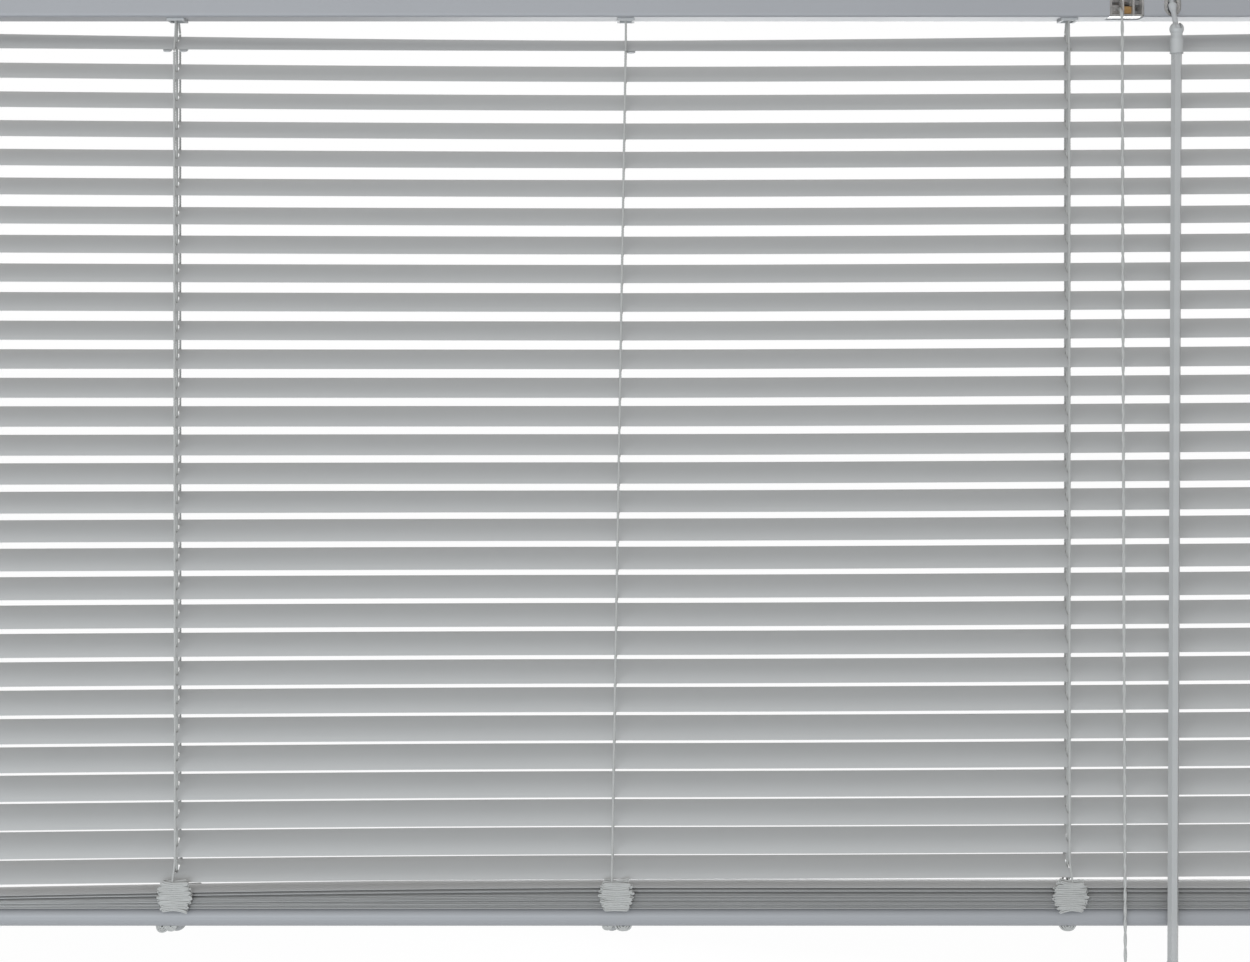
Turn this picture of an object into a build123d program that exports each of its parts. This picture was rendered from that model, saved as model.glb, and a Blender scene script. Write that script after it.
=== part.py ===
"""Horizontal slat blind with 25 mm slats, about a metre wide and lowered three quarters.

X runs along the blind, the room is on the -Y side and +Z is up. The origin lies on the ceiling plane,
midway between the two end brackets. All sizes are in millimetres.
"""

from build123d import *
import math
import os

# Headrail, a folded steel channel that is open at the top
headrail_length = 1000
headrail_depth = 25
headrail_height = 25
headrail_wall = 0.5
headrail_radius = 2.5
headrail_lip = 3.5
headrail_return = 2
cap_flange = 1.5
cap_plug = 6
cap_clearance = 0.2

# End brackets and their gates
bracket_length = 22
bracket_wall = 1
bracket_clearance = 0.3
screw_hole_radius = 2.1
screw_spacing = 12
knuckle_radius = 1.5
knuckle_length = 7
gate_pin_radius = 0.7
gate_wall = 1
gate_lip = 4
running_clearance = 0.1
gap = 0.3

# Slats
slat_end_gap = 2
slat_width = 25
slat_crown = 2
slat_thickness = 0.21
slat_corner = 3
slat_slot_width = 2.4
slat_slot_length = 11.5
slat_slot_corner = 0.8
slat_facets = 4
hanging_slats = 30
slat_pitch = 21.5
slat_tilt = 34
first_slat_drop = 18.8
last_slat_rise = 1.4
last_slat_tilt = 25
stacked_slats = 13
stack_spacing = 1.15
stack_drop = 14

# Ladders and cords
ladder_inset = 163
ladder_reach = 15.3
ladder_lean_top = 2.5
ladder_lean_bottom = -8
string_radius = 0.75
string_overhang = 2
tail_mouth = 3
tail_drop = 2.5
tail_radius = 6.5
rung_width = 0.8
rung_height = 0.6
rung_offset = 1.45
rung_lean_offset = 1.6
rung_clearance = 0.05
lift_cord_radius = 0.8
lift_cord_sidestep = 3

# Tilt rod, drums and cradles
rod_drop = 12
rod_across_flats = 5
rod_inset = 30
drum_width = 10
drum_core_radius = 3.6
drum_flange_radius = 4.8
drum_flange = 1.2
journal_radius = 3.4
journal_overhang = 0.5
cradle_length = 24
cradle_base = 1.5
cradle_cheek = 1.6
cradle_cheek_depth = 10
cradle_cheek_rise = 1
snout_length = 13
snout_depth = 13.5
snout_wall = 1.2
snout_drop = 2
snout_mouth_length = 9

# Lift cord lanes inside the headrail
lane_depth = 6.5
lane_drops = (6.2, 8.7)
lane_turn_radius = 4.2
lane_slant_drop = 15.2
lane_slant_radius = 3

# Cord lock
lock_offset = 28.7
lock_length = 25.5
lock_wall = 1.4
lock_back = 9
lock_roof_drop = 4
lock_partition = 1.2
roller_offset = 14
roller_length = 6
roller_radius = 3
roller_axle_radius = 1.2
roller_rise = 5.7
roller_depth = -6.5
roller_travel = 3.5
roller_slant = 35
lock_pin_radius = 1.3
lock_pin_depth = 3.5
lock_pin_rise = 6
rod_passage_radius = 4
lock_web = 1
lock_web_front = -4.9
lock_web_rise = 10
window_overlap = 13
window_drop = 7

# Wand tilter
tilter_offset = 21.5
tilter_width = 14
tilter_wall = 1.2
tilter_back = 7.5
tilter_roof_drop = 4
tilter_window = 12.7
gear_teeth = 12
gear_tip_radius = 5.25
gear_root_radius = 3.7
gear_width = 6
gear_hub_radius = 3.2
worm_distance = 8
worm_slant = 28
worm_core_radius = 2.5
worm_length = 11
stem_radius = 1.9
stem_collar_radius = 3.4
stem_collar_start = 9
stem_collar_end = 15
stem_collar_tip_radius = 2.2
ball_distance = 31.2
ball_radius = 4

# Wand
wand_cap_radius = 4.9
wand_head_radius = 5.2
wand_waist_radius = 4.2
wand_sleeve_drop = 7
wand_cap_drop = 18.2
wand_socket_floor = 9
wand_across_flats = 7
wand_lean = 0.24
wand_bottom = 765
grip_radius = 4.6
grip_length = 60
grip_cap = 6
grip_edge = 1.5

# Pull cord and tassel
pull_cord_radius = 1.1
pull_cord_offset = 7.9
pull_cord_bottom = 745
tassel_height = 34
tassel_top_radius = 2.8
tassel_bottom_radius = 6.5
tassel_edge = 1.2

# Bottom rail
rail_depth = 27
rail_height = 14
rail_wall = 0.6
rail_radius = 6
rail_gap = 0.6
rail_cap_plug = 8
cord_hole_radius = 1.6
plug_radius = 7
plug_dome = 6.5
plug_stem_radius = 2.9
plug_stem = 4

# Gathered ladder string beside the stack
gather_width = 23
gather_inner_width = 18
gather_folds = 8
gather_thickness = 4.6
gather_gap = 0.7
gather_top_drop = 8.6
gather_foot = 1.5

# One overrun serves all cuts
overrun = 1

# Levels and axes that follow from the sizes above
headrail_top = -(bracket_wall + bracket_clearance)
headrail_bottom = headrail_top - headrail_height
floor_top = headrail_bottom + headrail_wall
rod_z = headrail_top - rod_drop
front_face = -headrail_depth / 2
arc_radius = (slat_crown**2 + (slat_width / 2) ** 2) / (2 * slat_crown)
arc_half_angle = math.asin(slat_width / 2 / arc_radius)
chord_drop = arc_radius * math.sin(arc_half_angle) / arc_half_angle - (arc_radius - slat_crown)
last_slat_z = headrail_bottom - first_slat_drop - slat_pitch * (hanging_slats - 1) + last_slat_rise
stack_top = last_slat_z - stack_drop
rail_top = stack_top - stack_spacing * (stacked_slats - 1) - rail_gap
rail_z = rail_top - rail_height / 2
rail_bottom = rail_top - rail_height
slat_length = headrail_length - 2 * slat_end_gap
rod_length = headrail_length - 2 * rod_inset
ladder_spacing = headrail_length / 2 - ladder_inset
lock_left = ladder_spacing + lock_offset
lock_right = lock_left + lock_length
roller_center = lock_left + roller_offset
tilter_center = lock_right + tilter_offset
pull_cord_x = lock_left + pull_cord_offset
ladder_tops = (-ladder_spacing, ladder_lean_top, ladder_spacing)
ladder_bottoms = (-ladder_spacing, ladder_lean_bottom, ladder_spacing)
cord_sides = (-1, 1)
slat_levels = [headrail_bottom - first_slat_drop - slat_pitch * i for i in range(hanging_slats)]
slat_levels[-1] = last_slat_z
slat_tilts = [slat_tilt] * (hanging_slats - 1) + [last_slat_tilt]
gather_top = last_slat_z - gather_top_drop
gather_bottom = rail_top - gather_foot

parts = {}


def block(x, y, z):
    """A box between the two values of each pair."""
    center = Pos(sum(x) / 2, sum(y) / 2, sum(z) / 2)
    return center * Box(x[1] - x[0], y[1] - y[0], z[1] - z[0])


def along_x(profile, x0, x1):
    """A profile in Y and Z, extruded from x0 to x1."""
    return Pos(x0, 0, 0) * extrude(Plane.YZ * profile, amount=x1 - x0)


def rod_along_x(radius, x0, x1, y, z):
    """A round bar along X."""
    return Pos(x0, y, z) * extrude(Plane.YZ * Circle(radius), amount=x1 - x0)


def hex_circle(across_flats):
    """The radius through the corners of a hexagon."""
    return across_flats / 2 / math.cos(math.pi / 6)


def tube(points, radius, bends):
    """A round cord along straight runs joined by tangent arcs."""
    path = FilletPolyline(*points, radius=bends) if bends else Line(*points)
    start = Plane(path @ 0, z_dir=path % 0)
    return sweep(start * Circle(radius), path=path)


def ladder_x(ladder, z):
    """Where a ladder's strings stand at one height, from the first slat down to the last."""
    top, bottom = slat_levels[0], slat_levels[-1]
    share = (top - z) / (top - bottom)
    return ladder_tops[ladder] + (ladder_bottoms[ladder] - ladder_tops[ladder]) * share


def string_point(slat, side):
    """The Y and Z where a slat's rung meets the front (-1) or back (1) string."""
    angle = math.radians(slat_tilts[slat])
    across, rise = side * ladder_reach, -chord_drop
    y = across * math.cos(angle) - rise * math.sin(angle)
    z = across * math.sin(angle) + rise * math.cos(angle)
    return y, slat_levels[slat] + z


# Headrail
def make_headrail():
    outer = RectangleRounded(headrail_depth, headrail_height, headrail_radius)
    inner_radius = headrail_radius - headrail_wall
    inner_depth = headrail_depth - 2 * headrail_wall
    inner_height = headrail_height - 2 * headrail_wall
    inner = RectangleRounded(inner_depth, inner_height, inner_radius)
    mouth_width = headrail_depth - 2 * headrail_lip
    mouth = Pos(0, headrail_height / 2) * Rectangle(mouth_width, headrail_height)
    profile = outer - inner - mouth
    for side in (-1, 1):
        y = side * (mouth_width + headrail_wall) / 2
        z = headrail_height / 2 - headrail_return / 2
        profile += Pos(y, z) * Rectangle(headrail_wall, headrail_return)
    half = headrail_length / 2
    rail = Pos(0, 0, headrail_top - headrail_height / 2) * along_x(profile, -half, half)
    for x in ladder_tops:
        hole = (snout_length / 2 + running_clearance, snout_depth / 2 + running_clearance)
        rail -= block(
            (x - hole[0], x + hole[0]),
            (-hole[1], hole[1]),
            (headrail_bottom - overrun, floor_top + overrun),
        )
    # The lock's window turns under the front corner, and the tilter's ends in a half round
    rail -= block(
        (lock_left - running_clearance, lock_right + running_clearance),
        (front_face - overrun, front_face + headrail_radius + window_overlap),
        (headrail_bottom - overrun, headrail_top - window_drop),
    )
    arch = Circle(tilter_window / 2)
    arch += Pos(0, headrail_height / 2) * Rectangle(tilter_window, headrail_height)
    arch_z = headrail_bottom + headrail_wall + tilter_window / 2
    window = Pos(tilter_center, front_face + headrail_radius, arch_z) * extrude(
        Plane.XZ * arch, amount=headrail_radius + overrun
    )
    window -= block(
        (tilter_center - tilter_window, tilter_center + tilter_window),
        (front_face - headrail_depth, front_face + headrail_depth),
        (headrail_top - window_drop, headrail_top + headrail_height),
    )
    return rail - window


def make_headrail_cap(side):
    """A moulded cap that plugs one end of the headrail."""
    end = side * headrail_length / 2
    flange = RectangleRounded(headrail_depth, headrail_height, headrail_radius)
    near, far = sorted((end, end + side * cap_flange))
    cap = Pos(0, 0, headrail_top - headrail_height / 2) * along_x(flange, near, far)
    inset = headrail_wall + cap_clearance
    near, far = sorted((end, end - side * cap_plug))
    plug = block(
        (near, far),
        (front_face + inset, -front_face - inset),
        (headrail_bottom + inset, headrail_top - headrail_return - inset),
    )
    edges = [edge for edge in plug.edges().filter_by(Axis.X) if edge.center().Z < rod_z]
    return cap + fillet(edges, headrail_radius)


# Brackets with their gates
bracket_end = headrail_length / 2 + cap_flange + bracket_clearance + bracket_wall
bracket_front = front_face - bracket_clearance
bracket_back = -front_face + bracket_clearance + bracket_wall
bracket_bottom = headrail_bottom - bracket_clearance - bracket_wall
bracket_hole_x = bracket_end - bracket_length / 2
gate_y = bracket_front - knuckle_radius - running_clearance
gate_z = -knuckle_radius


def make_bracket(side):
    """A folded steel box, open to the front and towards the middle of the blind."""
    start = bracket_end - bracket_length
    box = block((start, bracket_end), (bracket_front, bracket_back), (bracket_bottom, 0))
    box -= block(
        (start - overrun, bracket_end - bracket_wall),
        (bracket_front - overrun, bracket_back - bracket_wall),
        (bracket_bottom + bracket_wall, -bracket_wall),
    )
    for offset in (-screw_spacing / 2, screw_spacing / 2):
        drill = Cylinder(screw_hole_radius, 4 * bracket_wall)
        box -= Pos(bracket_hole_x, offset, 0) * drill
        back = (bracket_hole_x, bracket_back, headrail_top - headrail_height / 2 + offset)
        box -= Pos(*back) * Rot(90, 0, 0) * drill
    for near in (start, bracket_end - knuckle_length):
        far = near + knuckle_length
        box += block((near, far), (gate_y, bracket_front), (-bracket_wall, 0))
        box += rod_along_x(knuckle_radius, near, far, gate_y, gate_z)
    bore_radius = gate_pin_radius + running_clearance
    box -= rod_along_x(bore_radius, start - overrun, bracket_end + overrun, gate_y, gate_z)
    return box if side > 0 else mirror(box, Plane.YZ)


def make_gate(side):
    """The front gate that keeps the headrail in its bracket, with its pin."""
    start = bracket_end - bracket_length
    middle = (start + knuckle_length + gap, bracket_end - knuckle_length - gap)
    plate_back = bracket_front - gap
    plate = (plate_back - gate_wall, plate_back)
    plate_top = gate_z - knuckle_radius - gap
    lip_top = bracket_bottom - gap
    gate = rod_along_x(knuckle_radius, *middle, gate_y, gate_z)
    gate += rod_along_x(gate_pin_radius, start, bracket_end, gate_y, gate_z)
    gate += block(middle, plate, (plate_top - knuckle_radius, gate_z))
    gate += block((start, bracket_end), plate, (lip_top - gate_wall, plate_top))
    gate += block((start, bracket_end), (plate[0], plate_back + gate_lip), (lip_top - gate_wall, lip_top))
    return gate if side > 0 else mirror(gate, Plane.YZ)


# Tilt rod, drums and cradles
def make_rod():
    hexagon = RegularPolygon(hex_circle(rod_across_flats), 6)
    return Pos(0, 0, rod_z) * along_x(hexagon, -rod_length / 2, rod_length / 2)


def make_drum(x):
    """A spool with two journals, bored for the rod."""
    half = drum_width / 2
    tip = half + gap + cradle_cheek + journal_overhang
    drum = rod_along_x(drum_core_radius, -half, half, 0, 0)
    for near in (-half, half - drum_flange):
        drum += rod_along_x(drum_flange_radius, near, near + drum_flange, 0, 0)
    drum += rod_along_x(journal_radius, -tip, tip, 0, 0)
    bore = RegularPolygon(hex_circle(rod_across_flats + 2 * running_clearance), 6)
    drum -= along_x(bore, -tip - overrun, tip + overrun)
    return Pos(x, 0, rod_z) * drum


def make_cradle(x):
    """A moulded saddle on the headrail's floor: two cheeks for the drum and a snout through the floor."""
    depth = headrail_depth - 2 * headrail_wall - 2 * headrail_radius
    base_top = floor_top + cradle_base
    snout_bottom = headrail_bottom - snout_drop
    mouth_depth = snout_depth - 2 * snout_wall
    cradle = block((-cradle_length / 2, cradle_length / 2), (-depth / 2, depth / 2), (floor_top, base_top))
    cradle += block(
        (-snout_length / 2, snout_length / 2),
        (-snout_depth / 2, snout_depth / 2),
        (snout_bottom, base_top),
    )
    for side in (-1, 1):
        near = side * (drum_width / 2 + gap)
        span = sorted((near, near + side * cradle_cheek))
        sides = (-cradle_cheek_depth / 2, cradle_cheek_depth / 2)
        cheek = block(span, sides, (base_top, rod_z + cradle_cheek_rise))
        notch = journal_radius + running_clearance
        cheek -= rod_along_x(notch, span[0] - overrun, span[1] + overrun, 0, rod_z)
        cheek -= block((span[0] - overrun, span[1] + overrun), (-notch, notch), (rod_z, rod_z + rod_drop))
        cradle += cheek
    cradle -= block(
        (-snout_mouth_length / 2, snout_mouth_length / 2),
        (-mouth_depth / 2, mouth_depth / 2),
        (snout_bottom - overrun, base_top + overrun),
    )
    return Pos(x, 0, 0) * cradle


# Cord lock
lock_floor = floor_top + running_clearance
lock_roof = headrail_top - lock_roof_drop
lock_front = front_face + headrail_wall
roller_z = headrail_bottom + roller_rise
roller_way = (math.sin(math.radians(roller_slant)), math.cos(math.radians(roller_slant)))


def make_lock_body():
    """A clear moulding, open at the front, with two partitions that carry the roller."""
    body = block((lock_left, lock_right), (lock_front, lock_back), (lock_floor, lock_roof))
    edges = [edge for edge in body.edges().filter_by(Axis.X) if edge.center().Z < rod_z]
    body = fillet(edges, headrail_radius)
    inside = (lock_left + lock_wall, lock_right - lock_wall)
    body -= block(
        inside,
        (lock_front - overrun, lock_back - lock_wall),
        (lock_floor + lock_wall, lock_roof - lock_wall),
    )
    for side in (-1, 1):
        near = roller_center + side * (roller_length / 2 + gap)
        span = sorted((near, near + side * lock_partition))
        body += block(span, (lock_front, lock_back - lock_wall), (lock_floor, lock_roof))
    # The cords come through a web across the left bay
    body += block(
        (lock_left, roller_center - roller_length / 2 - gap),
        (lock_web_front, lock_web_front + lock_web),
        (lock_floor, headrail_bottom + lock_web_rise),
    )
    slot_radius = roller_axle_radius + running_clearance
    slot = Pos(0, roller_travel / 2) * SlotOverall(
        roller_travel + 2 * slot_radius, 2 * slot_radius, rotation=90
    )
    reach = roller_length / 2 + lock_partition + gap + overrun
    groove = along_x(slot, -reach, reach)
    groove = Pos(roller_center, roller_depth, roller_z) * Rot(-roller_slant, 0, 0) * groove
    pin_z = headrail_bottom + lock_pin_rise
    bore_radius = lock_pin_radius + running_clearance
    bore = rod_along_x(bore_radius, lock_left - overrun, lock_right + overrun, lock_pin_depth, pin_z)
    passage = rod_along_x(rod_passage_radius, lock_left - overrun, lock_right + overrun, 0, rod_z)
    return body - groove - bore - passage


def make_lock_roller():
    """A knurled brass roller on its axle, which drops down the slanted grooves."""
    reach = roller_length / 2 + lock_partition
    roller = rod_along_x(roller_radius, -roller_length / 2, roller_length / 2, 0, 0)
    roller += rod_along_x(roller_axle_radius, -reach, reach, 0, 0)
    return Pos(roller_center, roller_depth, roller_z) * roller


def make_lock_pin():
    pin_z = headrail_bottom + lock_pin_rise
    return rod_along_x(lock_pin_radius, lock_left, lock_right, lock_pin_depth, pin_z)


# Wand tilter
slant = math.radians(worm_slant)
worm_y = -worm_distance * math.cos(slant)
worm_z = rod_z + worm_distance * math.sin(slant)
ball_y = worm_y - ball_distance * math.sin(slant)
ball_z = worm_z - ball_distance * math.cos(slant)
stem_frame = Pos(tilter_center, worm_y, worm_z) * Rot(180 - worm_slant, 0, 0)


def make_tilter_housing():
    """A clear box round the gear and the worm, open where the stem leaves it."""
    left, right = tilter_center - tilter_width / 2, tilter_center + tilter_width / 2
    front = front_face + headrail_wall + cap_clearance
    roof = headrail_top - tilter_roof_drop
    box = block((left, right), (front, tilter_back), (floor_top + running_clearance, roof))
    edges = [edge for edge in box.edges().filter_by(Axis.X) if edge.center().Z < rod_z]
    box = fillet(edges, headrail_radius)
    box -= block(
        (left + tilter_wall, right - tilter_wall),
        (front + tilter_wall, tilter_back - tilter_wall),
        (floor_top + tilter_wall, roof - tilter_wall),
    )
    box -= rod_along_x(gear_hub_radius + running_clearance, left - overrun, right + overrun, 0, rod_z)
    throat = Cylinder(stem_collar_radius + gap, 2 * ball_distance)
    return box - stem_frame * throat


def make_gear():
    """A spur gear with straight-sided teeth and a hub through both walls of the housing."""
    points = []
    for tooth in range(gear_teeth):
        start = 2 * math.pi * tooth / gear_teeth
        step = 2 * math.pi / gear_teeth
        root_shares = ((0, gear_root_radius), (0.4, gear_root_radius))
        tip_shares = ((0.6, gear_tip_radius), (0.8, gear_tip_radius))
        for share, radius in root_shares + tip_shares:
            angle = start + share * step
            points.append((radius * math.cos(angle), radius * math.sin(angle)))
    gear = along_x(make_face(Polyline(*points, close=True)), -gear_width / 2, gear_width / 2)
    half = tilter_width / 2
    gear += rod_along_x(gear_hub_radius, -half, half, 0, 0)
    bore = RegularPolygon(hex_circle(rod_across_flats + 2 * running_clearance), 6)
    gear -= along_x(bore, -half - overrun, half + overrun)
    return Pos(tilter_center, 0, rod_z) * gear


def make_stem():
    """The worm's core, its tapered collar, the neck and the ball that carries the wand."""
    half = worm_length / 2
    outline = Polyline(
        (0, -half),
        (worm_core_radius, -half),
        (worm_core_radius, half),
        (stem_radius, half),
        (stem_radius, stem_collar_start),
        (stem_collar_radius, stem_collar_start),
        (stem_collar_tip_radius, stem_collar_end),
        (stem_radius, stem_collar_end),
        (stem_radius, ball_distance),
        (0, ball_distance),
        close=True,
    )
    stem = revolve(Plane.XZ * make_face(outline), Axis.Z)
    stem += Pos(0, 0, ball_distance) * Sphere(ball_radius)
    return stem_frame * stem


# Wand
wand_cap_bottom = ball_z - wand_cap_drop
wand_socket_top = ball_z - wand_socket_floor
wand_end = headrail_bottom - wand_bottom
wand_axis = Pos(tilter_center, ball_y, ball_z) * Rot(0, wand_lean, 0) * Pos(0, 0, -ball_z)


def make_wand_cap():
    """A moulded cup: a slotted round head with the ball's socket, a waist and a sleeve bored for the rod."""
    upright = (Align.CENTER, Align.CENTER, Align.MIN)
    cup = Pos(0, 0, ball_z) * Sphere(wand_head_radius)
    foot = Pos(0, 0, wand_cap_bottom)
    sleeve_length = ball_z - wand_sleeve_drop - wand_cap_bottom
    cup += foot * Cylinder(wand_cap_radius, sleeve_length, align=upright)
    cup += foot * Cylinder(wand_waist_radius, ball_z - wand_cap_bottom, align=upright)
    cup -= Pos(0, 0, ball_z) * Sphere(ball_radius + gap)
    # The stem swings fore and aft in a slot between two ears
    slot_half = stem_radius + gap
    reach = wand_head_radius + overrun
    cup -= block((-slot_half, slot_half), (-reach, reach), (ball_z, ball_z + reach))
    bore = hex_circle(wand_across_flats) + gap
    cup -= Pos(0, 0, wand_socket_top) * Cylinder(
        bore, wand_cap_drop, align=(Align.CENTER, Align.CENTER, Align.MAX)
    )
    return wand_axis * cup


def make_wand_rod():
    """A hexagonal rod of clear acrylic."""
    top = wand_socket_top - gap
    hexagon = RegularPolygon(hex_circle(wand_across_flats), 6)
    return wand_axis * Pos(0, 0, wand_end) * extrude(hexagon, amount=top - wand_end)


def make_wand_grip():
    """A sleeve over the rod's lower end, closed below."""
    top = wand_end + grip_length
    grip = Pos(0, 0, wand_end - grip_cap) * Cylinder(
        grip_radius, grip_length + grip_cap, align=(Align.CENTER, Align.CENTER, Align.MIN)
    )
    rims = grip.edges().filter_by(GeomType.CIRCLE)
    grip = fillet(rims, grip_edge)
    hexagon = RegularPolygon(hex_circle(wand_across_flats), 6)
    grip -= Pos(0, 0, wand_end) * extrude(hexagon, amount=top - wand_end + overrun)
    return wand_axis * grip


# Slats
def make_slat():
    """One crowned strip with clipped corners and a slot for each lift cord, its centroid at the origin."""
    center = slat_crown - chord_drop - arc_radius
    outer, inner = arc_radius + slat_thickness / 2, arc_radius - slat_thickness / 2

    def on_arc(radius, angle):
        return radius * math.sin(angle), center + radius * math.cos(angle)

    angles = [arc_half_angle * (2 * i / slat_facets - 1) for i in range(slat_facets + 1)]
    upper = [on_arc(outer, angle) for angle in angles]
    lower = [on_arc(inner, angle) for angle in angles]
    section = make_face(Polyline(*upper, *reversed(lower), close=True))
    half = slat_length / 2
    slat = along_x(section, -half, half)
    reach = slat_width / 2 + overrun
    corner = Polyline((0, 0), (slat_corner + overrun, 0), (0, slat_corner + overrun), close=True)
    wedge = Pos(0, 0, -slat_width / 2) * extrude(make_face(corner), amount=slat_width)
    for side in (-1, 1):
        for turn, y in ((0, -reach), (-90, reach)):
            at_left = Pos(-half, y, 0) * Rot(0, 0, turn) * wedge
            slat -= at_left if side < 0 else mirror(at_left, Plane.YZ)
    slot_half = slat_slot_length / 2
    side_half = slat_slot_width / 2
    shoulder = slot_half - slat_slot_corner
    nose = side_half - slat_slot_corner
    outline = Polyline(
        (-side_half, -shoulder),
        (-nose, -slot_half),
        (nose, -slot_half),
        (side_half, -shoulder),
        (side_half, shoulder),
        (nose, slot_half),
        (-nose, slot_half),
        (-side_half, shoulder),
        close=True,
    )
    slot = Pos(0, 0, -slat_crown) * extrude(make_face(outline), amount=2 * slat_crown)
    for side in cord_sides:
        slat -= Pos(side * ladder_spacing, 0, 0) * slot
    return slat


def make_rung(x):
    """A flat woven rung under a slat, from the front string to the back string."""
    top = -chord_drop - slat_thickness / 2 - rung_clearance
    sides = (x - rung_width / 2, x + rung_width / 2)
    return block(sides, (-ladder_reach, ladder_reach), (top - rung_height, top))


def rung_x(ladder, z):
    """Rungs stand beside the strings, on the side towards the middle."""
    offsets = (rung_offset, rung_lean_offset, -rung_offset)
    return ladder_x(ladder, z) + offsets[ladder]


def make_hanging_slat(slat, i):
    z = slat_levels[i]
    pieces = [slat] + [make_rung(rung_x(ladder, z)) for ladder in range(3)]
    place = Pos(0, 0, z) * Rot(slat_tilts[i], 0, 0)
    return [place * piece for piece in pieces]


def make_stack(slat):
    """Slats that have come to rest on the bottom rail, the lowest just above it."""
    levels = [stack_top + chord_drop - stack_spacing * i for i in range(stacked_slats)]
    return [Pos(0, 0, z) * slat for z in levels]


# Ladder strings and their tails
def string_ends():
    """The slats at which the straight strings begin and end."""
    return 0, hanging_slats - 2


def make_strings(side):
    """The straight strings of all three ladders, front or back, from the first slat to the last but one."""
    first, last = string_ends()
    y, top = string_point(first, side)
    bottom = string_point(last, side)[1]
    strings = []
    for ladder in range(3):
        high, low = top + string_overhang, bottom - string_overhang
        shift = slat_levels[first] - top
        start = (ladder_x(ladder, high + shift), y, high)
        end = (ladder_x(ladder, low + shift), y, low)
        strings.append(tube((start, end), string_radius, None))
    return strings


def make_upper_tails():
    """Ladder string from the drums through the snouts to the straight strings."""
    tails = []
    for ladder, x in enumerate(ladder_tops):
        for side in (-1, 1):
            y, z = string_point(0, side)
            drum_y = side * (drum_core_radius + string_radius + gap)
            shift = slat_levels[0] - z
            end_z = z + string_overhang + string_radius + gap
            route = (
                (x, drum_y, rod_z - string_radius),
                (x, side * tail_mouth, headrail_bottom - tail_drop),
                (ladder_x(ladder, end_z + shift), y, end_z),
            )
            tails.append(tube(route, string_radius, tail_radius))
    return tails


def make_lower_tails():
    """Ladder string from the straight strings down to the gathered loops."""
    tails = []
    last = string_ends()[1]
    for ladder in range(3):
        for side in (-1, 1):
            y, z = string_point(last, side)
            start_z = z - string_overhang - gap
            shift = slat_levels[last] - z
            start = (ladder_x(ladder, start_z + shift), y, start_z)
            end = (ladder_bottoms[ladder], side * gather_middle, gather_top + gap)
            tails.append(tube((start, end), string_radius, None))
    return tails


gather_inner = slat_width / 2 + gather_gap
gather_middle = gather_inner + gather_thickness / 2


def make_gathers():
    """String gathered in loops beside the stack, in front and behind, as one scalloped pile each."""
    fold = (gather_top - gather_bottom) / gather_folds
    fold_shares = ((0, 0), (0.3, 1), (0.7, 1))
    edge = []
    for i in range(gather_folds):
        for share, bulge_share in fold_shares:
            width = gather_inner_width + (gather_width - gather_inner_width) * bulge_share
            edge.append((width / 2, gather_bottom + (i + share) * fold))
    edge.append((gather_inner_width / 2, gather_top))
    outline = edge + [(-x, z) for x, z in reversed(edge)]
    pile = extrude(Plane.XZ * make_face(Polyline(*outline, close=True)), amount=gather_thickness)
    gathers = []
    for x in ladder_bottoms:
        gathers.append(Pos(x, -gather_inner, 0) * pile)
        gathers.append(Pos(x, gather_inner + gather_thickness, 0) * pile)
    return gathers


# Lift cords
plug_top = rail_bottom + plug_stem


def make_lift_cord(side):
    """From the plug up through the slats, round behind the drum and along to the lock."""
    x = side * ladder_spacing
    lane_x = x + side * lift_cord_sidestep
    lane = headrail_top - lane_drops[cord_sides.index(side)]
    slant_z = headrail_top - lane_slant_drop
    route = (
        (x, 0, plug_top),
        (x, 0, headrail_bottom - tail_drop),
        (lane_x, lane_depth, slant_z),
        (lane_x, lane_depth, lane),
        (lock_left, lane_depth, lane),
    )
    return tube(route, lift_cord_radius, [lane_slant_radius, lane_slant_radius, lane_turn_radius])


# Pull cord and tassel, with the cord's route from inside the lock to the tassel
pull_cord_route = (
    (pull_cord_x, lock_web_front, headrail_bottom + 6.7),
    (pull_cord_x, -10.5, headrail_bottom + 6.7),
    (pull_cord_x, -14.9, headrail_bottom + 3.2),
    (pull_cord_x + 0.1, -16.4, headrail_bottom - 3.4),
    (pull_cord_x + 2.6, -16.4, headrail_bottom - pull_cord_bottom),
)


def cord_bends(points):
    """The largest radius that the two runs at each corner leave room for."""
    run_share = 0.45
    bends = []
    for before, corner, after in zip(points, points[1:], points[2:]):
        first, second = Vector(corner) - Vector(before), Vector(after) - Vector(corner)
        turn = math.radians(first.get_angle(second))
        bends.append(run_share * min(first.length, second.length) / math.tan(turn / 2))
    return bends


def make_pull_cord():
    bends = cord_bends(pull_cord_route)
    print("pull cord radii", [round(bend, 1) for bend in bends])
    return tube(pull_cord_route, pull_cord_radius, bends)


def make_tassel():
    """A bell on the end of the pull cord."""
    x, y, top = pull_cord_route[-1]
    outline = Polyline(
        (0, 0),
        (tassel_top_radius, 0),
        (tassel_bottom_radius, tassel_edge - tassel_height),
        (tassel_bottom_radius - tassel_edge, -tassel_height),
        (0, -tassel_height),
        close=True,
    )
    return Pos(x, y, top) * revolve(Plane.XZ * make_face(outline), Axis.Z)


# Bottom rail
def rail_profile(inset):
    radius = rail_radius - inset
    return Pos(0, rail_z) * RectangleRounded(rail_depth - 2 * inset, rail_height - 2 * inset, radius)


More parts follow.
